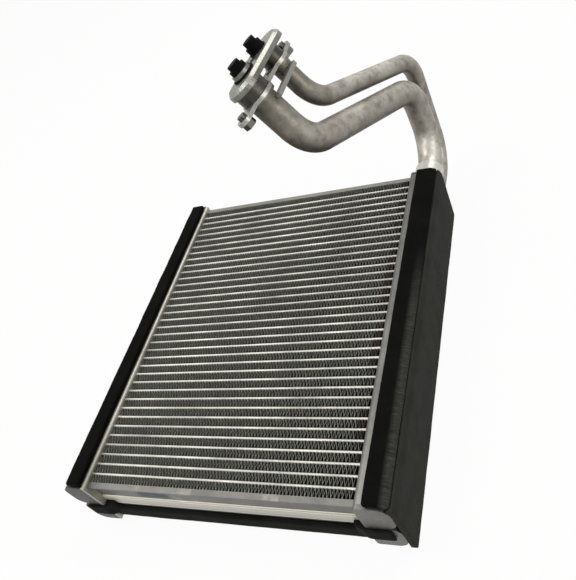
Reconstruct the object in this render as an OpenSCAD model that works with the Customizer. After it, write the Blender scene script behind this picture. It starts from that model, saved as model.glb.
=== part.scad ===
/* [Core] */
// Number of flat tubes in each row, odd so that one lies in the middle
tube_count = 35; // [9:2:45]
// Distance from one flat tube to the next
tube_pitch = 6.2; // [5:0.1:9]
// Thickness of a flat tube
tube_t = 1.5; // [1.2:0.1:2.5]
// Depth of one flat tube, front to back
tube_w = 16.4; // [12:0.1:20]
// Free gap between the front row and the rear row
row_gap = 3.7; // [2:0.1:6]
// Number of refrigerant channels in a flat tube
channel_count = 5; // [2:1:7]
// Wall round the channels of a flat tube
tube_wall = 0.35; // [0.2:0.05:0.5]
// Free width of the core between the two header plates
core_w = 162.2; // [100:0.1:240]
// Number of folds in one fin strip
fold_count = 40; // [10:2:60]
// Thickness of the fin sheet
fin_t = 0.2; // [0.1:0.05:0.4]
// Bare tube between a header plate and the first fold
fin_margin = 4.5; // [2:0.5:10]

/* [Side plates] */
// Thickness of the side plates
plate_t = 1.2; // [0.8:0.1:2]
// Height of their outward lips
plate_lip = 2.2; // [1:0.1:4]
// Width of the raised bead along the middle
bead_w = 7.5; // [4:0.5:12]
// Height of the raised bead
bead_h = 0.9; // [0.4:0.1:2]

/* [Tanks] */
// Thickness of the header plates
header_t = 1.8; // [1.2:0.1:3]
// How far the header plates and tanks stand out in front of the tubes
header_lead = 2.5; // [1:0.1:5]
// How far the header plates run past the side plates
header_over = 4.3; // [2:0.1:8]
// Clearance of a tube in its header slot, filled by the braze
braze_gap = 0.05; // [0.02:0.01:0.1]
// How far the tube ends reach into the tanks
tube_reach = 2; // [1:0.5:4]
// Depth of a tank, away from the core
tank_d = 15.2; // [12:0.1:24]
// Wall of the tanks
tank_wall = 1.4; // [1:0.1:2.5]
// Outer corner radius of the tanks
tank_r = 6.5; // [3:0.5:7]
// Thickness of the end caps outside the tanks
cap_t = 2.5; // [1.5:0.1:4]
// Depth of the end caps' plugs inside the tanks
cap_plug = 3; // [1:0.5:6]
// Radius of the crossover holes between the right tanks
crossover_r = 4; // [2:0.5:5]
// Thickness of the pass partitions
partition_t = 1.5; // [1:0.1:3]
// Clearance between the partitions and the tube ends
partition_gap = 1; // [0.5:0.1:2]

/* [Foam] */
// Thickness of the foam strips on the tanks
foam_t = 3.9; // [2:0.1:6]
// Outer corner radius of the foam
foam_r = 8; // [3:0.5:9]
// Width of the foam strip on the left tank
left_foam_w = 10.2; // [6:0.1:14]
// How far the left foam strip laps over the header plate's edge
left_foam_lap = 0.5; // [0:0.1:1.5]
// Rounding of the left foam strip's outer edge
left_foam_r = 1.5; // [0.5:0.5:3]
// Tank strip left bare beside the right front foam
foam_bare = 1; // [0:0.5:6]
// How far the side foam runs past the lower end caps
foam_over = 0.7; // [0:0.1:2]
// How far the front foam stops short of the lower end caps
foam_short = 0.5; // [0:0.1:2]
// How far the foam stops short of the upper end caps
foam_short_top = 2; // [0:0.1:4]
// Gap under the foam, filled by its glue
glue_gap = 0.15; // [0.1:0.05:0.3]
// Thickness of the foam strip on the lower side plate
foam_low_t = 3.2; // [2:0.1:6]
// Width of the foam strip on the lower side plate
foam_low_w = 10; // [5:0.5:12]

/* [Pipes] */
// Outer diameter of the suction pipe
suction_d = 16; // [12:0.5:18]
// Outer diameter of the liquid pipe
liquid_d = 11.2; // [8:0.2:13]
// Wall of both pipes
pipe_wall = 1.3; // [1:0.1:2]
// Bend radius of the suction pipe, on its centre line
suction_bend = 23; // [20:1:24]
// Bend radius of the liquid pipe, on its centre line
liquid_bend = 22; // [16:1:26]
// Rise of the suction pipe above its end cap
suction_rise = 34; // [30:0.5:60]
// Rise of the liquid pipe above its end cap
liquid_rise = 53; // [40:0.5:80]
// Height of the suction pipe's second corner in front of the tubes
suction_out = 44; // [40:1:70]
// Height of the liquid pipe's second corner in front of the tubes
liquid_out = 53.5; // [48:0.5:80]
// Lean of the risers toward the middle
pipe_lean = 2.2; // [0:0.1:5]
// Wall of the sockets that the pipes are brazed into
socket_wall = 1.3; // [0.8:0.1:2]
// Height of the sockets above the end caps
socket_h = 12; // [6:0.5:14]
// Height of the stop beads on the pipes, beyond the pipe
bead_out = 1.6; // [0.8:0.1:3]

/* [Pipe flange] */
// Sideways place of the suction port from the middle of the core
port_x = 37.2; // [20:0.1:60]
// Lengthwise place of the suction port from the middle of the core
port_y = 46.6; // [20:0.1:70]
// Height of the suction port in front of the tubes
port_z = 132.8; // [120:0.1:160]
// Turn of the flange face toward the left tank
port_turn = 24.8; // [0:0.1:40]
// Lengthwise distance between the two ports
port_step = 27.1; // [24:0.1:34]
// Sideways distance between the two ports
port_side = 4.6; // [0:0.1:8]
// Length of the suction pipe's last leg
suction_leg = 49; // [45:0.5:70]
// Length of the liquid pipe's last leg
liquid_leg = 42; // [38:0.5:60]
// Thickness of the flange's plate
flange_t = 4.5; // [4:0.5:8]
// Rim radius of the flange and of the retaining plate
flange_r = 10.4; // [10.2:0.1:12]
// Wall of the flange's necks behind its plate
neck_wall = 0.9; // [0.6:0.1:1.4]
// How far the flange runs past the liquid pipe
flange_over = 3.2; // [1:0.1:6]
// Width of the bevel along the flange's front edge
flange_bevel = 1.6; // [0.5:0.1:2]
// Height of that bevel
bevel_h = 1.8; // [0.5:0.1:3]
// Depth of the pipes' ends behind the flange's face
pipe_sink = 2.5; // [1.5:0.1:3]
// Bore radius of the suction port
suction_port_r = 4.4; // [3:0.1:4.6]
// Bore radius of the liquid port
liquid_port_r = 2.9; // [2:0.1:3.2]
// How far the suction port is set in from its pipe, toward the liquid port
suction_port_in = 5; // [2:0.1:5]
// How far the liquid port is set in from its pipe, toward the suction port
liquid_port_in = 3; // [1:0.1:3]
// Wall of the bosses round the ports
boss_wall = 1.4; // [1:0.1:1.4]
// Height of the suction port's boss
suction_boss_h = 3; // [1:0.5:5]
// Height of the liquid port's boss
liquid_boss_h = 1; // [1:0.5:4]
// Clearance of a pipe in the plates
pipe_gap = 0.1; // [0.05:0.05:0.3]
// Radius of the mounting bolt's hole in the flange
bolt_hole_r = 3.3; // [2.5:0.1:3.5]
// Free gap between the flange's plate and the retaining plate
plate_gap = 6; // [3:0.5:8]
// Thickness of the retaining plate
retainer_t = 2.2; // [1.5:0.1:4]
// Rim of the retaining plate round both pipes
retainer_rim = 1.8; // [1:0.1:2.4]
// Rim of the retaining plate's ears round the clamp screws
ear_rim = 2; // [1:0.5:4]
// Middle of the clamp screws, counted from the suction pipe
screw_mid = 10.5; // [10:0.1:12]
// Distance from that middle to each clamp screw
screw_reach = 28; // [28:0.1:32]
// How far the clamp screws stand out in front of the retaining plate
screw_out = 2; // [0.5:0.5:2.5]
// Thread radius of the clamp screws
screw_r = 2.4; // [2:0.1:3]
// Width across flats of the clamp screws' heads
screw_head_w = 6.4; // [5:0.2:6.6]
// Height of the clamp screws' heads
screw_head_h = 3.4; // [2:0.1:5]
// Thickness of the bracket strap that joins the two pipes
bracket_t = 3; // [1:0.1:4]
// Width of the bracket strap
bracket_w = 2.5; // [1.5:0.1:6]
// Gap between the stop beads and the bracket strap
bracket_gap = 2.5; // [1:0.1:6]

/* [Port plugs] */
// Height of the suction plug's knob
suction_plug_h = 5; // [3:0.5:8]
// Radius of that knob
suction_knob_r = 4.8; // [4.5:0.1:5.5]
// Height of the liquid plug's knob
liquid_plug_h = 6.4; // [3:0.2:8]
// Radius of that knob's foot
liquid_knob_r = 4.7; // [3.5:0.1:5]
// How much slimmer the tip of each knob is
knob_step = 1.2; // [0.5:0.1:2]
// Clearance of a plug in its port
plug_gap = 0.1; // [0.05:0.05:0.3]
// Wire radius of the port seals
seal_r = 0.5; // [0.3:0.1:0.5]

/* [Hidden] */

// Faces of a drawn circle, of a small one and of one inside a hull
fine = 40;
small = 16;
hull_fine = 32;

// Core, measured from its middle: x across, y along, z = 0 at the tube noses
core_d = 2 * tube_w + row_gap;
plate_in = (tube_count + 1) / 2 * tube_pitch - tube_t / 2;
plate_out = plate_in + plate_t;
head_in = core_w / 2;
head_out = head_in + header_t;
head_end = plate_out + header_over;
fin_h = tube_pitch - tube_t;
fin_half = head_in - fin_margin;

// Tanks: two lobes on each header plate, back to back at the middle of the core
split_z = -core_d / 2;
lobe_h = header_lead - split_z;
back_z = split_z - lobe_h;
tank_out = head_out + tank_d;
tank_end = head_end - cap_t;
lobe_x = head_out + tank_d / 2;
front_z = split_z + lobe_h / 2;
rear_z = split_z - lobe_h / 2;

// Foam strips
foam_out = tank_out + glue_gap + foam_t;
foam_top = header_lead + glue_gap + foam_t;
foam_low_end = head_end + foam_over;
foam_high_end = head_end - foam_short_top;

// Frame: middle of the outline, standing on the backs of the tanks; only the right side has foam
top_y = head_end + liquid_rise + liquid_d / 2;
origin = [(foam_out - tank_out) / 2, (top_y - foam_low_end) / 2, back_z];

// Flange frame: x across the flange, y along the core, z out of the ports
port_dir = [-sin(port_turn), 0, cos(port_turn)];
port_across = [cos(port_turn), 0, sin(port_turn)];
port_at = [port_x, port_y, port_z];
port2_at = port_at + port_side * port_across + [0, port_step, 0];
port_span = norm([port_side, port_step]);
flange_len = port_span + flange_over;
flange_mid = flange_len / 2;
flange_angle = atan2(port_step, port_side);
retainer_top = -flange_t - plate_gap;
retainer_low = retainer_top - retainer_t;
liquid_port_x = port_span - liquid_port_in;

// Routes of the pipes, corner by corner
suction_route = [[lobe_x, tank_end + cap_t, front_z],
                 [lobe_x, head_end + suction_rise, front_z],
                 [lobe_x - pipe_lean, head_end + suction_rise, suction_out],
                 port_at - suction_leg * port_dir,
                 port_at - pipe_sink * port_dir];
liquid_route = [[lobe_x, tank_end + cap_t, rear_z],
                [lobe_x, head_end + liquid_rise, rear_z],
                [lobe_x - pipe_lean, head_end + liquid_rise, liquid_out],
                port2_at - liquid_leg * port_dir,
                port2_at - pipe_sink * port_dir];

// Overlap of a pipe's legs and bends, and how much wider a bend is
lap = 0.6;
swell = 0.05;

// How far a cutting body runs past what it cuts
cut = 1;

function unit(v) = v / norm(v);

// Rigid placement with its x, y and z axes and its origin
function placed(x, y, z, o) = [[x[0], y[0], z[0], o[0]],
                               [x[1], y[1], z[1], o[1]],
                               [x[2], y[2], z[2], o[2]],
                               [0, 0, 0, 1]];
function side_of(d) = unit(abs(d[0]) < 0.9 ? cross(d, [1, 0, 0]) : cross(d, [0, 1, 0]));

// Turn of a route at corner i, and how far its bend starts before the corner
function turn_at(p, i) = acos(unit(p[i] - p[i - 1]) * unit(p[i + 1] - p[i]));
function tangent_at(p, i, r) = (i == 0 || i == len(p) - 1) ? 0 : r * tan(turn_at(p, i) / 2);

module in_frame() {
    translate(-origin)
        children();
}

// Straight round bar between two points
module bar(a, b, r) {
    d = unit(b - a);
    s = side_of(d);
    multmatrix(placed(s, cross(d, s), d, a))
        cylinder(r = r, h = norm(b - a), $fn = fine);
}

// Round bar along a bend at corner b
module elbow(a, b, c, r, bend) {
    d1 = unit(b - a);
    d2 = unit(c - b);
    turn = acos(d1 * d2);
    n = unit(d2 - (d1 * d2) * d1);
    start = b - bend * tan(turn / 2) * d1;
    multmatrix(placed(-n, d1, cross(-n, d1), start + bend * n))
        rotate_extrude(angle = turn, $fn = fine)
            translate([bend, 0])
                circle(r = r, $fn = fine);
}

// Whole route as a round bar: the legs run a little way into the bends, which are a hair wider
module route(p, r, bend) {
    last = len(p) - 1;
    for (i = [0 : last - 1]) {
        d = unit(p[i + 1] - p[i]);
        bar(p[i] + (tangent_at(p, i, bend) - (i == 0 ? 0 : lap)) * d,
            p[i + 1] - (tangent_at(p, i + 1, bend) - (i == last - 1 ? 0 : lap)) * d, r);
    }
    for (i = [1 : last - 1])
        elbow(p[i - 1], p[i], p[i + 1], r + swell, bend);
}

// Flat tube in section: round noses and a row of channels
module tube_section() {
    r = tube_t / 2;
    inner_w = tube_w - 2 * r;
    step = inner_w / channel_count;
    difference() {
        union() {
            translate([-inner_w, -r])
                translate([-r, 0])
                    square([inner_w, tube_t]);
            translate([-r, 0])
                circle(r = r, $fn = small);
            translate([-r - inner_w, 0])
                circle(r = r, $fn = small);
        }
        for (i = [0 : channel_count - 1])
            translate([-r - (i + 1) * step + tube_wall / 2, -r + tube_wall])
                square([step - tube_wall, tube_t - 2 * tube_wall]);
    }
}

// Slot for a flat tube, cleared for the braze
module slot_section() {
    r = tube_t / 2 + braze_gap;
    inner_w = tube_w - tube_t;
    translate([-tube_t / 2 - inner_w, -r])
        square([inner_w, 2 * r]);
    translate([-tube_t / 2, 0])
        circle(r = r, $fn = small);
    translate([-tube_t / 2 - inner_w, 0])
        circle(r = r, $fn = small);
}

// One row of flat tubes with its noses at z
module tube_row(z) {
    half = head_out + tube_reach;
    for (k = [1 : tube_count])
        translate([-half, (k - (tube_count + 1) / 2) * tube_pitch, z])
            rotate([0, 90, 0])
                rotate([0, 0, 180])
                    linear_extrude(2 * half)
                        tube_section();
}

// Fin strip in section: a folded sheet whose crests meet the tubes above and below
module fin_section() {
    step = 2 * fin_half / fold_count;
    slope = sqrt(1 + pow(fin_h / step, 2));
    rise = fin_t * slope;
    over = [for (i = [0 : fold_count]) [-fin_half + i * step, i % 2 == 0 ? rise : fin_h]];
    under = [for (i = [fold_count : -1 : 0]) [-fin_half + i * step, i % 2 == 0 ? 0 : fin_h - rise]];
    polygon(concat(over, under));
}

// Channel-shaped side plate in section, drawn with x = depth and y = outward
module plate_section() {
    translate([-core_d, 0])
        square([core_d, plate_t]);
    for (x = [-core_d, -plate_t])
        translate([x, 0])
            square([plate_t, plate_t + plate_lip]);
    translate([-core_d / 2 - bead_w / 2, plate_t])
        square([bead_w, bead_h]);
}

module side_plate() {
    rotate([0, -90, 0])
        translate([0, 0, -head_in])
            linear_extrude(2 * head_in)
                plate_section();
}

// Rounded box in section, with square corners on its left side
module lobe_section(x0, x1, z0, z1, r) {
    translate([x0, z0])
        square([x1 - x0 - r, z1 - z0]);
    translate([x0, z0 + r])
        square([x1 - x0, z1 - z0 - 2 * r]);
    translate([x1 - r, z0 + r])
        circle(r = r, $fn = fine);
    translate([x1 - r, z1 - r])
        circle(r = r, $fn = fine);
}

// Section in x and z, drawn out along the core from y = a to y = b
module along(a, b) {
    translate([0, b, 0])
        rotate([90, 0, 0])
            linear_extrude(b - a)
                children();
}

module header_plate() {
    difference() {
        along(-head_end, head_end)
            union() {
                translate([head_in, back_z + header_t])
                    square([header_t, 2 * lobe_h - 2 * header_t]);
                for (z = [back_z + header_t, header_lead - header_t])
                    translate([head_out, z])
                        intersection() {
                            circle(r = header_t, $fn = fine);
                            translate([-header_t, -header_t])
                                square([header_t, 2 * header_t]);
                        }
            }
        for (k = [1 : tube_count], z = [0, -tube_w - row_gap])
            translate([head_in - header_t, (k - (tube_count + 1) / 2) * tube_pitch, z])
                rotate([0, 90, 0])
                    rotate([0, 0, 180])
                        linear_extrude(3 * header_t)
                            slot_section();
    }
}

// Tank shell over one tube row, open toward the header plate
module tank(z0, z1) {
    along(-tank_end, tank_end)
        difference() {
            lobe_section(head_out, tank_out, z0, z1, tank_r);
            translate([-tank_wall, 0])
                lobe_section(head_out, tank_out, z0 + tank_wall, z1 - tank_wall, tank_r - tank_wall);
        }
}

// Crossover holes through the walls between the two tanks
module crossovers() {
    step = tank_end / 4;
    for (i = [1 : 3])
        translate([lobe_x, -i * step, split_z - 2 * tank_wall])
            cylinder(r = crossover_r, h = 4 * tank_wall, $fn = fine);
}

// End cap of one tank at its upper end
module end_cap(z0, z1) {
    c = tank_wall + plug_gap;
    e = braze_gap;
    along(tank_end, head_end)
        lobe_section(head_out, tank_out, z0 + e, z1 - e, tank_r);
    along(tank_end - cap_plug, tank_end)
        lobe_section(head_out, tank_out - c, z0 + c, z1 - c, tank_r - c);
}

// End cap with a socket for a pipe
module socket_cap(z0, z1, z, d) {
    difference() {
        union() {
            end_cap(z0, z1);
            translate([lobe_x, head_end, z])
                rotate([-90, 0, 0])
                    cylinder(r = d / 2 + pipe_gap + socket_wall, h = socket_h, $fn = fine);
        }
        translate([lobe_x, head_end, z])
            rotate([-90, 0, 0])
                cylinder(r = d / 2 + pipe_gap, h = socket_h + cut, $fn = fine);
        translate([lobe_x, tank_end - cap_plug - cut, z])
            rotate([-90, 0, 0])
                cylinder(r = d / 2 - pipe_wall, h = cap_t + cap_plug + 2 * cut, $fn = fine);
    }
}

// Pipe: hollow along its route, with a stop bead behind the retaining plate
module pipe(p, d, bend) {
    last = len(p) - 1;
    dir = unit(p[last] - p[last - 1]);
    low = p[last] + (pipe_sink + retainer_low - bead_out) * dir;
    difference() {
        union() {
            route(p, d / 2, bend);
            bar(low, low + bead_out * dir, d / 2 + bead_out);
        }
        route([for (i = [0 : last])
                  i == 0 ? p[0] - [0, cut, 0] : i == last ? p[last] + cut * dir : p[i]],
              d / 2 - pipe_wall, bend);
    }
}

// Places its children in the flange's own frame: x runs from the suction port to the liquid port
module at_ports() {
    multmatrix(placed(port_across, [0, 1, 0], port_dir, port_at))
        rotate([0, 0, flange_angle])
            children();
}

// Flat bar with round ends from x = a to x = b, of radius r
module stadium(a, b, r) {
    for (x = [a, b])
        translate([x, 0])
            circle(r = r, $fn = fine);
    translate([a, -r])
        square([b - a, 2 * r]);
}

// The flange's plate: the same bar with a bevelled front edge, its face at z = 0
module bevel_plate() {
    hull()
        for (x = [0, flange_len])
            translate([x, 0, -flange_t]) {
                cylinder(r = flange_r, h = flange_t - bevel_h, $fn = hull_fine);
                cylinder(r = flange_r - flange_bevel, h = flange_t, $fn = hull_fine);
            }
}

// Round holes for both pipes, from z = a to z = b, wider than the pipes by w
module port_holes(a, b, w) {
    translate([0, 0, a])
        cylinder(r = suction_d / 2 + w, h = b - a, $fn = fine);
    translate([port_span, 0, a])
        cylinder(r = liquid_d / 2 + w, h = b - a, $fn = fine);
}

module front_tubes() {
    color("silver")
        in_frame()
            tube_row(0);
}

module rear_tubes() {
    color("silver")
        in_frame()
            tube_row(-tube_w - row_gap);
}

module fins() {
    color("dimgray")
        in_frame()
            for (k = [0 : tube_count])
                translate([0, (k - tube_count / 2) * tube_pitch - fin_h / 2, -core_d])
                    linear_extrude(core_d)
                        fin_section();
}

module upper_side_plate() {
    color("lightgray")
        in_frame()
            translate([0, plate_in, 0])
                side_plate();
}

module lower_side_plate() {
    color("lightgray")
        in_frame()
            mirror([0, 1, 0])
                translate([0, plate_in, 0])
                    side_plate();
}

module right_header_plate() {
    color("silver")
        in_frame()
            header_plate();
}

module left_header_plate() {
    color("silver")
        in_frame()
            mirror([1, 0, 0])
                header_plate();
}

module right_front_tank() {
    color("gainsboro")
        in_frame()
            difference() {
                tank(split_z, header_lead);
                crossovers();
            }
}

module right_rear_tank() {
    color("gainsboro")
        in_frame()
            difference() {
                tank(back_z, split_z);
                crossovers();
            }
}

module left_front_tank() {
    color("gainsboro")
        in_frame()
            mirror([1, 0, 0])
                tank(split_z, header_lead);
}

module left_rear_tank() {
    color("gainsboro")
        in_frame()
            mirror([1, 0, 0])
                tank(back_z, split_z);
}

module both_caps() {
    end_cap(split_z, header_lead);
    end_cap(back_z, split_z);
}

module right_lower_caps() {
    color("silver")
        in_frame()
            mirror([0, 1, 0])
                both_caps();
}

module left_lower_caps() {
    color("silver")
        in_frame()
            mirror([1, 0, 0])
                mirror([0, 1, 0])
                    both_caps();
}

module left_upper_caps() {
    color("silver")
        in_frame()
            mirror([1, 0, 0])
                both_caps();
}

module suction_end_cap() {
    color("silver")
        in_frame()
            socket_cap(split_z, header_lead, front_z, suction_d);
}

module liquid_end_cap() {
    color("silver")
        in_frame()
            socket_cap(back_z, split_z, rear_z, liquid_d);
}

module pass_partitions() {
    c = tank_wall + plug_gap;
    color("silver")
        in_frame()
            for (z = [[split_z, header_lead], [back_z, split_z]])
                along(-partition_t / 2, partition_t / 2)
                    lobe_section(head_out + tube_reach + partition_gap, tank_out - c, z[0] + c, z[1] - c, tank_r - c);
}

module suction_pipe() {
    color("darkgray")
        in_frame()
            pipe(suction_route, suction_d, suction_bend);
}

module liquid_pipe() {
    color("darkgray")
        in_frame()
            pipe(liquid_route, liquid_d, liquid_bend);
}

// Sleeve on the axis x, from z = a to z = b
module post(x, r, a, b) {
    translate([x, 0, a])
        cylinder(r = r, h = b - a, $fn = fine);
}

// Plate with a neck round each pipe behind it and a boss round each port in front
module flange() {
    neck_end = retainer_top + pipe_gap;
    color("lightgray")
        in_frame()
            at_ports()
                difference() {
                    union() {
                        bevel_plate();
                        post(0, suction_d / 2 + pipe_gap + neck_wall, neck_end, -flange_t + lap);
                        post(port_span, liquid_d / 2 + pipe_gap + neck_wall, neck_end, -flange_t + lap);
                        post(suction_port_in, suction_port_r + boss_wall, -lap, suction_boss_h);
                        post(liquid_port_x, liquid_port_r + boss_wall, -lap, liquid_boss_h);
                    }
                    port_holes(neck_end - cut, -pipe_sink, pipe_gap);
                    post(suction_port_in, suction_port_r, -pipe_sink - lap, suction_boss_h + cut);
                    post(liquid_port_x, liquid_port_r, -pipe_sink - lap, liquid_boss_h + cut);
                    post(flange_mid, bolt_hole_r, -flange_t - cut, cut);
                }
}

// Thin plate behind the flange, with an ear for a clamp screw at each end
module retaining_plate() {
    ears = [screw_mid - screw_reach, screw_mid + screw_reach];
    color("lightgray")
        in_frame()
            at_ports()
                difference() {
                    translate([0, 0, retainer_low])
                        linear_extrude(retainer_t) {
                            circle(r = suction_d / 2 + retainer_rim, $fn = fine);
                            translate([port_span, 0])
                                circle(r = liquid_d / 2 + retainer_rim, $fn = fine);
                            stadium(ears[0], ears[1], screw_r + ear_rim);
                        }
                    port_holes(retainer_low - cut, retainer_top + cut, pipe_gap);
                    post(flange_mid, bolt_hole_r, retainer_low - cut, retainer_top + cut);
                    for (x = ears)
                        post(x, screw_r + pipe_gap, retainer_low - cut, retainer_top + cut);
                }
}

module clamp_screws() {
    color("gray")
        in_frame()
            at_ports()
                for (s = [-1, 1])
                    translate([screw_mid + s * screw_reach, 0, retainer_low]) {
                        translate([0, 0, -screw_head_h])
                            rotate([0, 0, 30])
                                cylinder(r = screw_head_w / sqrt(3), h = screw_head_h, $fn = 6);
                        cylinder(r = screw_r, h = retainer_t + screw_out, $fn = fine);
                    }
}

// Flat strap that lies along both pipes, on the side away from the left tank
module pipe_bracket() {
    lean = acos((suction_d - liquid_d) / 2 / port_span);
    color("gray")
        in_frame()
            at_ports()
                rotate([0, 0, -lean])
                    translate([suction_d / 2 + pipe_gap, 0, retainer_low - bead_out - bracket_gap - bracket_w])
                        cube([bracket_t, port_span * sin(lean), bracket_w]);
}

// Round seal at the foot of a port's boss of radius r
module seal(r) {
    translate([0, 0, seal_r])
        rotate_extrude($fn = fine)
            translate([r + seal_r, 0])
                circle(r = seal_r, $fn = small);
}

module suction_seal() {
    color("black")
        in_frame()
            at_ports()
                translate([suction_port_in, 0, 0])
                    seal(suction_port_r + boss_wall);
}

module liquid_seal() {
    color("black")
        in_frame()
            at_ports()
                translate([liquid_port_x, 0, 0])
                    seal(liquid_port_r + boss_wall);
}

// Push-in plug: a shank in the port and a stepped knob of height h on its boss
module plug(port_r, boss_h, knob_r, h) {
    post(0, port_r - plug_gap, plug_gap - pipe_sink, boss_h);
    post(0, knob_r, boss_h, boss_h + h / 2);
    post(0, knob_r - knob_step, boss_h + h / 2, boss_h + h);
}

module suction_plug() {
    color("black")
        in_frame()
            at_ports()
                translate([suction_port_in, 0, 0])
                    plug(suction_port_r, suction_boss_h, suction_knob_r, suction_plug_h);
}

module liquid_plug() {
    color("black")
        in_frame()
            at_ports()
                translate([liquid_port_x, 0, 0])
                    plug(liquid_port_r, liquid_boss_h, liquid_knob_r, liquid_plug_h);
}

// Foam skin round a tank pair in section, before it is parted at the corner
module foam_section() {
    low = back_z - 2 * foam_r;
    intersection() {
        difference() {
            lobe_section(head_out + foam_bare, foam_out, low, foam_top, foam_r);
            lobe_section(head_in, tank_out + glue_gap, low - cut, header_lead + glue_gap, tank_r + glue_gap);
        }
        translate([head_in, back_z + glue_gap])
            square([2 * tank_out, 3 * lobe_h]);
    }
}

// Half plane on one side of the corner's mitre, s = 1 in front and s = -1 beside
module mitre_side(s) {
    far = 4 * lobe_h;
    translate([foam_out - foam_r, foam_top - foam_r])
        rotate([0, 0, 45])
            translate([-far, s > 0 ? glue_gap / 2 : -far - glue_gap / 2])
                square([2 * far, far]);
}

module front_foam() {
    along(-head_end + foam_short, foam_high_end)
        intersection() {
            foam_section();
            mitre_side(1);
        }
}

module side_foam() {
    along(-foam_low_end, foam_high_end)
        intersection() {
            foam_section();
            mitre_side(-1);
        }
}

module right_front_foam() {
    color("black")
        in_frame()
            front_foam();
}

module right_side_foam() {
    color("#2b2b2b")
        in_frame()
            side_foam();
}

// Flat strip on the front tank, covering the header plate's edge
module left_front_foam() {
    x0 = head_out - left_foam_lap;
    color("black")
        in_frame()
            mirror([1, 0, 0])
                along(-head_end + foam_short, foam_high_end)
                    intersection() {
                        lobe_section(x0, x0 + left_foam_w, header_lead - 2 * left_foam_r, foam_top, left_foam_r);
                        translate([x0, header_lead + glue_gap])
                            square([left_foam_w, foam_t]);
                    }
}

module lower_foam() {
    color("black")
        in_frame()
            translate([-head_in, -plate_out - glue_gap - foam_low_t, -core_d + plate_t + glue_gap])
                cube([2 * head_in, foam_low_t, foam_low_w]);
}

front_tubes();
rear_tubes();
fins();
upper_side_plate();
lower_side_plate();
right_header_plate();
left_header_plate();
right_front_tank();
right_rear_tank();
left_front_tank();
left_rear_tank();
right_lower_caps();
left_lower_caps();
left_upper_caps();
suction_end_cap();
liquid_end_cap();
pass_partitions();
suction_pipe();
liquid_pipe();
flange();
retaining_plate();
clamp_screws();
pipe_bracket();
suction_seal();
liquid_seal();
suction_plug();
liquid_plug();
right_front_foam();
right_side_foam();
left_front_foam();
lower_foam();
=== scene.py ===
import random

import bmesh
import bpy
from mathutils import Matrix, Vector


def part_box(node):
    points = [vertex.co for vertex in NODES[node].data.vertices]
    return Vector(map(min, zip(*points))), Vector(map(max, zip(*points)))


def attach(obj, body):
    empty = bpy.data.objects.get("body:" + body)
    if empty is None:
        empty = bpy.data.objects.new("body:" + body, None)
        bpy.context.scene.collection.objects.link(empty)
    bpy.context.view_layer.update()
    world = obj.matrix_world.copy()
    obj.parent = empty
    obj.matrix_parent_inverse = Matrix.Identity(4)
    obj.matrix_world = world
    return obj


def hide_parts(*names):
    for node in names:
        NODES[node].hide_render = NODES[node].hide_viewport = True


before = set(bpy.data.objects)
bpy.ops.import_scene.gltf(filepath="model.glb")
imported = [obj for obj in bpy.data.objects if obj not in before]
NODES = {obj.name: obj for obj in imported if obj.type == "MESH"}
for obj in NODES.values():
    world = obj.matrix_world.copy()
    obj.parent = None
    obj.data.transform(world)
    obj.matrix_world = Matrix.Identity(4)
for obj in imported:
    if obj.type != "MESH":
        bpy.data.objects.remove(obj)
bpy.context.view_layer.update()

MM = 0.001
rng = random.Random(7)

# The photograph's camera. Its place is in the CAD source's own millimetres, where the frame's origin
# is at ORIGIN_ROW; RIGHT and DOWN are the picture's directions.
ORIGIN_ROW = Vector((2.025, 28.95, -39.0))
EYE_ROW = Vector((194.2, -223.3, 271.8))
RIGHT = Vector((0.892, 0.230, -0.389))
DOWN = Vector((-0.081, -0.765, -0.639))
FOCAL_PX = 646.54
PHOTO_W_PX = 576.0
SENSOR_W = 36.0         # in millimetres
NEAREST = 0.01          # in metres

# Studio, in metres and watts: each lamp's place, size and power, and the point that they all face
LAMPS = {
    "key": ((0.45, 0.75, 1.05), (0.9, 0.7), 11.0),
    "top": ((-0.55, -0.05, 1.15), (0.5, 0.6), 9.0),
    "fill": ((1.3, -0.4, 0.6), (0.8, 0.8), 9.0),
    "front": ((-0.5, -1.2, 0.55), (0.9, 0.6), 9.0),
}
LAMP_AIM = (0, 0, 0.03)
FLOOR_SIZE = 30
FLOOR_Z = -0.0002
FLOOR_COLOUR = (0.55, 0.54, 0.52, 1.0)
FLOOR_GLOW = 0.95       # share of plain white in the floor as it is seen; the rest shows the shadow
SKY_LIGHT = 0.3         # strength of the world as a light; it is seen at 1
WHITE = (1, 1, 1, 1)

# The fine fins, in metres; a step is the space from one panel of the fold to the next
TUBE_PITCH = 6.2 * MM
TUBE_T = 1.5 * MM
FIN_STEP = 0.97 * MM
FIN_SHEET = 0.23 * MM
FIN_REACH = 3.2 * MM    # past the CAD's fins, toward each header plate
FIN_SLANT = 0.42        # lean of a panel at its two ends, in steps
STRIP_DRIFT = 0.35      # most that a whole strip is shifted, in steps
STEP_JITTER = 0.05      # spread of a panel's place, in steps
SLANT_JITTER = 0.06     # spread of its lean, in steps
FRONT_JITTER = 0.015    # spread of its front edge, in millimetres
# The fins' painted shade and painted highlight are set by depth behind their front edge
FIN_SHADE = 1.4 * MM    # depth from which the fins are in full shade
FIN_EDGE = 0.02 * MM    # depth down to which they are at their brightest

# The foam pieces, in millimetres
FOAM_VOXEL = 0.9
LOWER_VOXEL = 0.8
FOAM_WOBBLE = 0.35
LEFT_WOBBLE = 0.6
WAVES = ((0.02, 1.0), (0.004, 0.35))    # size in metres and share of the wobble
WAVE_MIDDLE = 0.6                       # value of a wave's texture that moves nothing
FRONT_FOAM_EDGE = 84.4                  # x of the right front strip's edge nearest the core

# The lower strip's ends, which climb over the header plates onto the end caps, in millimetres from
# the core's middle line; the drops are how far down its two sides go there
CORE_MIDDLE = -ORIGIN_ROW.x
CLIMB_START, CLIMB_AT, CLIMB_END = 74.5, 80.95, 94.1
INNER_DROP, OUTER_DROP = 4.3, 2.7
CLIMB_Z = (9.5, 20.5)

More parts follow.
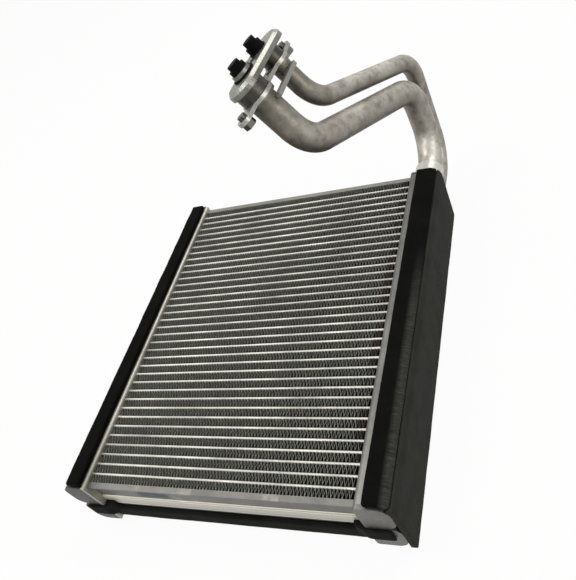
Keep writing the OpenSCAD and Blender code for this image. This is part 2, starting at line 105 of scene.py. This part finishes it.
# Direction out of the ports, and ranges along it in millimetres
PORT_DIR = (-0.41945, 0.0, 0.90778)
BROWN_FROM, BROWN_TO = 84.0, 122.0      # the pipes get browner
# These ranges place the flange's painted shade on its necks and painted highlight on its bevel
NECKS, PLATE = 136.2, 137.4             # the flange goes from dark necks to its plate
BEVEL_LOW = (139.4, 139.6)              # its bright bevel begins
BEVEL_HIGH = (141.19, 141.08)           # and ends, counted inward

# Most of a noise texture's values lie in this range
NOISE_LOW, NOISE_HIGH = 0.3, 0.7


class Nodes:
    """Short calls that build a node tree."""

    def __init__(self, tree):
        self.tree = tree

    def new(self, kind, **values):
        """A node, with each value set on its input of that name, or else on the node itself."""
        node = self.tree.nodes.new(kind)
        for key, value in values.items():
            if key in node.inputs:
                node.inputs[key].default_value = value
            else:
                setattr(node, key, value)
        return node

    def put(self, value, socket):
        """Links an output to a socket, or sets a plain value on it."""
        if isinstance(value, bpy.types.NodeSocket):
            self.tree.links.new(value, socket)
        else:
            socket.default_value = value

    def math(self, operation, *terms):
        node = self.new("ShaderNodeMath", operation=operation)
        for term, socket in zip(terms, node.inputs):
            self.put(term, socket)
        return node.outputs[0]

    def span(self, value, to_low, to_high, low=NOISE_LOW, high=NOISE_HIGH):
        """The value's range from low to high, mapped to another range and held there."""
        node = self.new("ShaderNodeMapRange")
        ends = {"From Min": low, "From Max": high, "To Min": to_low, "To Max": to_high}
        for name, number in ends.items():
            node.inputs[name].default_value = number
        self.put(value, node.inputs["Value"])
        return node.outputs["Result"]

    def seen(self):
        """1 for the rays that show the background: straight, mirrored or through glass."""
        path = self.new("ShaderNodeLightPath")
        total = path.outputs["Is Camera Ray"]
        for ray in ("Is Glossy Ray", "Is Transmission Ray"):
            total = self.math("MAXIMUM", total, path.outputs[ray])
        return total


class Mat(Nodes):
    """A material around one Principled shader, with textures in the object's own coordinates."""

    # Sockets of a colour Mix node, whose names repeat for each data type
    MIX_FAC, MIX_A, MIX_B, MIX_RESULT = 0, 6, 7, 2

    def __init__(self, name, **shader):
        self.mat = bpy.data.materials.new(name)
        self.mat.use_nodes = True
        super().__init__(self.mat.node_tree)
        self.bsdf = self.tree.nodes["Principled BSDF"]
        self.coord = self.new("ShaderNodeTexCoord")
        for key, value in shader.items():
            self.set(key, value)

    def set(self, key, value):
        """metallic, roughness, specular_ior_level or base_color of the shader."""
        label = {"specular_ior_level": "Specular IOR Level"}.get(key, key.replace("_", " ").title())
        self.put(value, self.bsdf.inputs[label])

    def noise(self, scale, detail=4.0, rough=0.55, stretch=None):
        node = self.new("ShaderNodeTexNoise", Scale=scale, Detail=detail, Roughness=rough)
        vector = self.coord.outputs["Object"]
        if stretch:
            mapping = self.new("ShaderNodeMapping", Scale=stretch)
            self.put(vector, mapping.inputs["Vector"])
            vector = mapping.outputs["Vector"]
        self.put(vector, node.inputs["Vector"])
        return node.outputs["Fac"]

    def ramp(self, fac, stops):
        node = self.new("ShaderNodeValToRGB")
        elements = node.color_ramp.elements
        while len(elements) < len(stops):
            elements.new(0.5)
        for element, (position, colour) in zip(elements, stops):
            element.position = position
            element.color = (*colour, 1.0)
        self.put(fac, node.inputs["Fac"])
        return node.outputs["Color"]

    def blotches(self, fac, low, high):
        """From one colour to another over a noise texture's range."""
        return self.ramp(fac, [(NOISE_LOW, low), (NOISE_HIGH, high)])

    def part(self, axis, source="Object"):
        """One component of the surface's place (Object) or of its direction (Normal)."""
        split = self.new("ShaderNodeSeparateXYZ")
        self.put(self.coord.outputs[source], split.inputs["Vector"])
        return split.outputs[axis]

    def near(self, axis, centre, half, soft):
        """1 within half of centre along an axis, in millimetres, fading to 0 over soft."""
        away = self.math("ABSOLUTE", self.math("SUBTRACT", self.part(axis), centre * MM))
        return self.span(away, 1.0, 0.0, half * MM, (half + soft) * MM)

    def along(self, direction, start, end):
        """0 to 1 as the place goes from start to end along a direction, in millimetres."""
        dot = self.new("ShaderNodeVectorMath", operation="DOT_PRODUCT")
        self.put(self.coord.outputs["Object"], dot.inputs[0])
        self.put(direction, dot.inputs[1])
        return self.span(dot.outputs["Value"], 0.0, 1.0, start * MM, end * MM)

    def underside(self):
        """1 where the surface faces down, fading to 0 where it faces up."""
        return self.span(self.part("Z", "Normal"), 1.0, 0.0, low=-0.6, high=0.35)

    def times(self, a, b):
        return self.math("MULTIPLY", a, b)

    def mix(self, fac, a, b, blend="MIX"):
        node = self.new("ShaderNodeMix", data_type="RGBA", blend_type=blend)
        for value, index in ((fac, self.MIX_FAC), (a, self.MIX_A), (b, self.MIX_B)):
            self.put(value, node.inputs[index])
        return node.outputs[self.MIX_RESULT]

    def over(self, fac, colour):
        """One more layer of colour on what the shader has."""
        base = self.bsdf.inputs["Base Color"].links[0].from_socket
        self.set("base_color", self.mix(fac, base, (*colour, 1.0)))

    def bump(self, height, strength, distance):
        """One more layer of bump."""
        node = self.new("ShaderNodeBump", Strength=strength, Distance=distance)
        self.put(height, node.inputs["Height"])
        normal = self.bsdf.inputs["Normal"]
        if normal.is_linked:
            self.put(normal.links[0].from_socket, node.inputs["Normal"])
        self.put(node.outputs["Normal"], normal)


def metal(name, low, high, rough, bump, metallic=0.85, stain=None, stain_from=0.55):
    """Satin metal: a blotchy tone, a fine grain and, above a level of noise, faint stains."""
    m = Mat(name, metallic=metallic)
    grain = m.noise(900.0, detail=3.0, rough=0.6)
    broad = m.noise(35.0, detail=5.0, rough=0.6)
    shade = m.blotches(grain, (0.86, 0.86, 0.86), (1.0, 1.0, 1.0))
    colour = m.mix(1.0, m.blotches(broad, low, high), shade, "MULTIPLY")
    if stain:
        spots = m.span(m.noise(60.0, detail=6.0, rough=0.7), 0.0, 0.55, stain_from, stain_from + 0.2)
        colour = m.mix(spots, colour, (*stain, 1.0))
    m.set("base_color", colour)
    m.set("roughness", m.span(grain, *rough))
    m.bump(grain, strength=bump, distance=0.0002)
    return m


def fin_material():
    """Coated fin sheet, with painted light: a painted highlight on its front edge, painted shade that
    darkens it behind, and fine specks of painted glint. Brown marks lie beside the right header
    plate."""
    m = Mat("fin_alu", metallic=0.2, roughness=0.62)
    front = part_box("fins")[1][2]
    # Painted shade deepening behind the front edge, with a painted highlight on the edge itself
    depth = m.span(m.part("Z"), 0.0, 1.0, front - FIN_SHADE, front - FIN_EDGE)
    shade = m.ramp(depth, [(0.0, (0.004, 0.0044, 0.0036)), (0.75, (0.012, 0.013, 0.011)),
                           (0.92, (0.045, 0.047, 0.039)), (1.0, (0.165, 0.166, 0.138))])
    tone = m.blotches(m.noise(45.0, detail=5.0, rough=0.65), (0.78, 0.79, 0.76), (1.0, 1.0, 1.0))
    # Painted glint: fine specks that brighten the colour
    sparkle = m.ramp(m.noise(1300.0, detail=2.0, rough=0.6),
                     [(0.35, (0.5, 0.5, 0.5)), (0.56, (0.9, 0.9, 0.9)), (0.74, (2.0, 2.0, 1.9))])
    m.set("base_color", m.mix(1.0, m.mix(1.0, shade, tone, "MULTIPLY"), sparkle, "MULTIPLY"))
    marks = m.span(m.noise(90.0), 0.0, 1.0, low=0.42, high=0.54)
    m.over(m.times(m.near("X", 76.0, half=1.8, soft=1.5), marks), (0.032, 0.021, 0.015))
    return m


def lower_plate_material():
    """The lower side plate: a painted highlight as a brighter band along its bead, painted highlights
    on the bead's two edges, and a smudge of ink."""
    m = metal("low_plate_alu", (0.084, 0.082, 0.073), (0.164, 0.160, 0.143), (0.34, 0.55),
              bump=0.35, metallic=0.6, stain=(0.33, 0.30, 0.26))
    # Painted highlight: a brighter band along the bead
    m.over(m.near("Z", 19.0, half=5.0, soft=1.0), (0.46, 0.45, 0.405))
    # Painted highlights along the bead's two edges
    for edge in (24.5, 17.0):
        m.over(m.near("Z", edge, half=0.3, soft=0.5), (0.80, 0.78, 0.70))
    place = m.times(m.near("X", -42.9, half=8.0, soft=5.0), m.near("Z", 31.0, half=3.0, soft=3.0))
    speckle = m.noise(200.0, detail=5.0, rough=0.7, stretch=(0.4, 1, 1))
    ink = m.span(speckle, 0.0, 1.0, low=0.36, high=0.50)
    m.over(m.times(place, ink), (0.010, 0.021, 0.032))
    return m


def cap_material():
    """The right side's end caps, whose sockets for the pipes are brighter."""
    m = metal("cap_alu", (0.053, 0.052, 0.046), (0.144, 0.142, 0.128), (0.32, 0.5),
              bump=0.8, metallic=0.65, stain=(0.09, 0.08, 0.065))
    m.over(m.near("Y", 94.0, half=5.0, soft=1.0), (0.48, 0.465, 0.425))
    return m


def pipe_material():
    """Bare tube with brown patches, painted shade in dark brown on its undersides, and browner toward
    the flange.
    """
    m = metal("pipe_alu", (0.311, 0.287, 0.248), (0.474, 0.448, 0.400), (0.38, 0.56),
              bump=0.45, stain=(0.17, 0.145, 0.115), stain_from=0.47)
    # Painted shade: dark brown where the surface faces down
    m.over(m.times(m.underside(), m.span(m.noise(40.0), 0.55, 0.95)), (0.065, 0.053, 0.042))
    patches = m.span(m.noise(170.0, detail=3.0, rough=0.6), 0.0, 0.6, low=0.46, high=0.72)
    m.over(patches, (0.09, 0.076, 0.06))
    browner = m.times(m.along(PORT_DIR, BROWN_FROM, BROWN_TO), m.span(m.noise(50.0), 0.55, 0.95))
    m.over(browner, (0.06, 0.052, 0.041))
    return m


def flange_material():
    """The flange: painted shade on the necks behind its plate, and a painted highlight on the bevel
    round the plate's front.
    """
    m = metal("flange_alu", (0.124, 0.124, 0.108), (0.205, 0.205, 0.180), (0.3, 0.45), bump=0.3)
    # Painted shade on the necks behind the plate
    m.over(m.along(PORT_DIR, PLATE, NECKS), (0.045, 0.041, 0.035))
    # Painted highlight on the bevel
    bevel = m.times(m.along(PORT_DIR, *BEVEL_LOW), m.along(PORT_DIR, *BEVEL_HIGH))
    m.over(bevel, (0.25, 0.246, 0.217))
    return m


def plastic_material():
    """Dull black, for the plugs and the seals."""
    m = Mat("black_plastic", roughness=0.6, specular_ior_level=0.04)
    black = m.blotches(m.noise(200.0), (0.0012, 0.0012, 0.0013), (0.003, 0.003, 0.0033))
    m.set("base_color", black)
    m.bump(m.noise(900.0), strength=0.2, distance=0.0003)
    return m


def foam_material(name, low, high):
    """Foam with fine cells and a slightly uneven face."""
    m = Mat(name, roughness=0.78, specular_ior_level=0.03)
    m.set("base_color", m.blotches(m.noise(60.0), low, high))
    cells = m.new("ShaderNodeTexVoronoi", Scale=1500.0)
    m.put(m.coord.outputs["Object"], cells.inputs["Vector"])
    m.bump(cells.outputs["Distance"], strength=0.35, distance=0.0004)
    m.bump(m.noise(250.0), strength=0.3, distance=0.0006)
    return m


def lit_edge_foam_material(low, high):
    """Foam with painted light on its rounded outer edge: grey in its lower half, in fine streaks
    across it.
    """
    m = foam_material("foam_lit_edge", low, high)
    streak_noise = m.noise(110.0, detail=6.0, rough=0.8, stretch=(1.5, 14, 1))
    streaks = m.span(streak_noise, 0.25, 1.0, low=0.40, high=0.64)
    # Painted light on the rounded outer edge, over the strip's lower half
    edge = m.times(m.near("X", 96.5, half=1.6, soft=2.6), streaks)
    m.over(m.times(edge, m.near("Y", -95.0, half=55.0, soft=55.0)), (0.045, 0.046, 0.040))
    return m


def paint(node, m):
    """The node keeps its shape and takes this material in every slot."""
    slots = NODES[node].data.materials
    if not slots:
        slots.append(m.mat)
    for i in range(len(slots)):
        slots[i] = m.mat


def add_object(name, bm):
    """A new object from a mesh under construction."""
    mesh = bpy.data.meshes.new(name)
    bm.to_mesh(mesh)
    bm.free()
    obj = bpy.data.objects.new(name, mesh)
    bpy.context.scene.collection.objects.link(obj)
    return obj


def fin_panel(bm, x, y, slant, front, back, x_range):
    """One leaning panel between two tubes. It is open at the tubes."""
    ring = []
    for end_y, shift in ((y, -slant), (y + TUBE_PITCH - TUBE_T, slant)):
        for side in (-FIN_SHEET / 2, FIN_SHEET / 2):
            ring.append((min(max(x + shift + side, x_range[0]), x_range[1]), end_y))
    a, b = [[bm.verts.new((*corner, z)) for corner in ring] for z in (front, back)]
    for face in ((a[0], a[1], a[3], a[2]), (b[2], b[3], b[1], b[0]),
                 (a[2], b[2], b[0], a[0]), (a[1], b[1], b[3], a[3])):
        bm.faces.new(face)


def add_fins(m):
    """Finely folded fins in the space of the CAD's coarser folds."""
    low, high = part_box("fins")
    x_range = (low[0] - FIN_REACH, high[0] + FIN_REACH)
    strips = round((high[1] - low[1] + TUBE_T) / TUBE_PITCH)
    count = int((x_range[1] - x_range[0]) / FIN_STEP)
    step = (x_range[1] - x_range[0]) / count
    bm = bmesh.new()
    for strip in range(strips):
        drift = rng.uniform(-STRIP_DRIFT, STRIP_DRIFT) * step
        for i in range(count):
            x = x_range[0] + (i + 0.5) * step + drift + rng.gauss(0, STEP_JITTER) * step
            slant = (FIN_SLANT if i % 2 else -FIN_SLANT) * step + rng.gauss(0, SLANT_JITTER) * step
            front = high[2] - abs(rng.gauss(0, FRONT_JITTER)) * MM
            fin_panel(bm, x, low[1] + strip * TUBE_PITCH, slant, front, low[2], x_range)
    obj = add_object("folded_fins", bm)
    obj.data.materials.append(m.mat)
    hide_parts("fins")
    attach(obj, "root")


def add_prism(bm, outline, z_range):
    """A straight prism: its outline in x and y and its range in z, all in millimetres."""
    low, high = [[bm.verts.new((x * MM, y * MM, z * MM)) for x, y in outline] for z in z_range]
    bm.faces.new(low[::-1])
    bm.faces.new(high)
    for i in range(len(outline)):
        j = (i + 1) % len(outline)
        bm.faces.new((low[i], low[j], high[j], high[i]))


def climbing_end(side):
    """Outline of the lower strip's end on one side of the core, -1 or 1."""
    outer, inner = (corner[1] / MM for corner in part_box("lower_foam"))
    outline = [(CLIMB_START, inner), (CLIMB_AT, inner), (CLIMB_AT, inner - INNER_DROP),
               (CLIMB_END, inner - INNER_DROP), (CLIMB_END, outer - OUTER_DROP),
               (CLIMB_AT, outer - OUTER_DROP), (CLIMB_START, outer)]
    placed = [(CORE_MIDDLE + side * x, y) for x, y in outline]
    return placed if side < 0 else placed[::-1]


def add_foam(name, node, m, voxel=FOAM_VOXEL, wobble=FOAM_WOBBLE, inner_x=None, ends=()):
    """The solid's own shape, softened and slightly uneven. Its edge nearest the core may move out
    to inner_x, and outlines may be added as its ends."""
    bm = bmesh.new()
    bm.from_mesh(NODES[node].data)
    if inner_x:
        for vert in bm.verts:
            vert.co.x = max(vert.co.x, inner_x * MM)
    for outline in ends:
        add_prism(bm, outline, CLIMB_Z)
    bmesh.ops.recalc_face_normals(bm, faces=bm.faces)
    obj = add_object(name, bm)
    remesh = obj.modifiers.new("remesh", "REMESH")
    remesh.mode = "VOXEL"
    remesh.voxel_size = voxel * MM
    smooth = obj.modifiers.new("smooth", "SMOOTH")
    smooth.iterations = 4
    smooth.factor = 0.5
    for i, (size, share) in enumerate(WAVES):
        texture = bpy.data.textures.new(f"{name}_{i}", "CLOUDS")
        texture.noise_scale = size
        wave = obj.modifiers.new(f"wave_{i}", "DISPLACE")
        wave.texture = texture
        wave.strength = wobble * share * MM
        wave.mid_level = WAVE_MIDDLE
        wave.texture_coords = "GLOBAL"
    shaped = obj.evaluated_get(bpy.context.evaluated_depsgraph_get())
    mesh = bpy.data.meshes.new_from_object(shaped)
    obj.modifiers.clear()
    obj.data = mesh
    mesh.shade_smooth()
    mesh.materials.append(m.mat)
    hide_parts(node)
    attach(obj, "root")


def add_camera():
    """A camera at the photograph's place and angle."""
    right = RIGHT.normalized()
    down = (DOWN - DOWN.dot(right) * right).normalized()
    ahead = right.cross(down)
    place = [(eye - origin) * MM for eye, origin in zip(EYE_ROW, ORIGIN_ROW)]
    cam = bpy.data.objects.new("camera", bpy.data.cameras.new("camera"))
    cam.matrix_world = Matrix((right, -down, -ahead)).transposed().to_4x4()
    cam.location = place
    cam.data.sensor_fit = "HORIZONTAL"
    cam.data.sensor_width = SENSOR_W
    cam.data.lens = FOCAL_PX / PHOTO_W_PX * SENSOR_W
    cam.data.clip_start = NEAREST
    bpy.context.scene.collection.objects.link(cam)
    bpy.context.scene.camera = cam


def add_floor():
    """A pale floor that shows almost white and keeps a faint shadow."""
    bpy.ops.mesh.primitive_plane_add(size=FLOOR_SIZE, location=(0, 0, FLOOR_Z))
    floor = bpy.context.object
    floor.name = "floor"
    m = Mat("floor_white", base_color=FLOOR_COLOUR, roughness=0.9, specular_ior_level=0.1)
    glow = m.new("ShaderNodeEmission", Color=WHITE, Strength=1.0)
    mix = m.new("ShaderNodeMixShader")
    parts = (m.times(m.seen(), FLOOR_GLOW), m.bsdf.outputs[0], glow.outputs[0])
    for value, socket in zip(parts, mix.inputs):
        m.put(value, socket)
    m.put(mix.outputs[0], m.tree.nodes["Material Output"].inputs["Surface"])
    floor.data.materials.append(m.mat)


def add_world():
    """A white world that lights softly."""
    world = bpy.data.worlds.new("world")
    bpy.context.scene.world = world
    world.use_nodes = True
    nodes = Nodes(world.node_tree)
    background = world.node_tree.nodes["Background"]
    nodes.put(WHITE, background.inputs["Color"])
    nodes.put(nodes.span(nodes.seen(), SKY_LIGHT, 1.0, 0.0, 1.0), background.inputs["Strength"])


def add_lamp(name, place, size, power):
    """A rectangular lamp that faces LAMP_AIM."""
    data = bpy.data.lights.new(name, "AREA")
    data.shape = "RECTANGLE"
    data.size, data.size_y = size
    data.energy = power
    lamp = bpy.data.objects.new(name, data)
    lamp.location = place
    lamp.rotation_euler = (Vector(LAMP_AIM) - Vector(place)).to_track_quat("-Z", "Y").to_euler()
    bpy.context.scene.collection.objects.link(lamp)


add_camera()
add_floor()
add_world()
for lamp_name, (lamp_place, lamp_size, lamp_power) in LAMPS.items():
    add_lamp(lamp_name, lamp_place, lamp_size, lamp_power)

# The metal and plastic nodes keep their CAD shapes
tube_metal = metal("core_alu", (0.28, 0.275, 0.245), (0.62, 0.61, 0.545), (0.45, 0.62),
                   bump=0.35, metallic=0.6)
plate_metal = metal("plate_alu", (0.168, 0.164, 0.147), (0.252, 0.245, 0.217), (0.34, 0.55),
                    bump=0.3, metallic=0.6, stain=(0.33, 0.30, 0.26))
header_metal = metal("header_alu", (0.081, 0.080, 0.071), (0.163, 0.160, 0.146), (0.4, 0.55),
                     bump=0.4, metallic=0.6)
# Painted highlight: the left header plate takes a lighter, warmer copy of the header metal
lit_left_header_metal = metal("left_header_lit_alu", (0.246, 0.234, 0.197), (0.394, 0.377, 0.324),
                          (0.35, 0.5), bump=0.4, metallic=0.6)
tank_metal = metal("tank_alu", (0.112, 0.111, 0.099), (0.225, 0.221, 0.199), (0.34, 0.55),
                   bump=0.5, metallic=0.65, stain=(0.20, 0.19, 0.16))
# Painted shade: the left end caps take a much darker copy of the cap metal
shaded_left_cap_metal = metal("left_cap_shaded_alu", (0.015, 0.015, 0.013), (0.050, 0.049, 0.043),
                       (0.36, 0.55), bump=0.8, metallic=0.65)
# Painted highlight: the retaining plate takes a lighter copy of the flange metal, for its bright rim
lit_retainer_metal = metal("retainer_lit_alu", (0.216, 0.211, 0.189), (0.360, 0.353, 0.317),
                       (0.3, 0.45), bump=0.3)
screw_metal = metal("screw_steel", (0.036, 0.035, 0.032), (0.072, 0.071, 0.065), (0.3, 0.45),
                    bump=0.1, metallic=1.0)
for finish, painted in (
        (tube_metal, ("front_tubes", "rear_tubes")),
        (plate_metal, ("upper_side_plate", "pipe_bracket")),
        (lower_plate_material(), ("lower_side_plate",)),
        (header_metal, ("right_header_plate",)),
        (lit_left_header_metal, ("left_header_plate",)),
        (tank_metal, ("right_front_tank", "right_rear_tank", "left_front_tank", "left_rear_tank",
                      "pass_partitions")),
        (cap_material(), ("right_lower_caps", "suction_end_cap", "liquid_end_cap")),
        (shaded_left_cap_metal, ("left_lower_caps", "left_upper_caps")),
        (pipe_material(), ("suction_pipe", "liquid_pipe")),
        (flange_material(), ("flange",)),
        (lit_retainer_metal, ("retaining_plate",)),
        (screw_metal, ("clamp_screws",)),
        (plastic_material(), ("suction_seal", "liquid_seal", "suction_plug", "liquid_plug"))):
    for painted_node in painted:
        paint(painted_node, finish)

# The fins and the foam pieces take the place of their CAD solids
# The foam strips are one black foam in lit and shaded copies, as painted light: the side strip
# lighter, the lower strip a little lighter, the front strips darkest
BLACK_FOAM = ((0.0015, 0.0015, 0.0012), (0.0035, 0.0035, 0.0028))
# The right front strip has painted light on its rounded outer edge
lit_edge_foam = lit_edge_foam_material(*BLACK_FOAM)
front_foam = foam_material("foam_front", *BLACK_FOAM)
side_foam = foam_material("foam_side_lit", (0.018, 0.018, 0.016), (0.026, 0.026, 0.023))
low_foam = foam_material("foam_low", (0.006, 0.006, 0.005), (0.012, 0.012, 0.0105))
add_fins(fin_material())
add_foam("right_front_foam_strip", "right_front_foam", lit_edge_foam, inner_x=FRONT_FOAM_EDGE)
add_foam("right_side_foam_strip", "right_side_foam", side_foam)
add_foam("left_front_foam_strip", "left_front_foam", front_foam, wobble=LEFT_WOBBLE)
add_foam("lower_foam_strip", "lower_foam", low_foam, voxel=LOWER_VOXEL,
         ends=(climbing_end(-1), climbing_end(1)))

bpy.context.scene.view_settings.view_transform = "Standard"
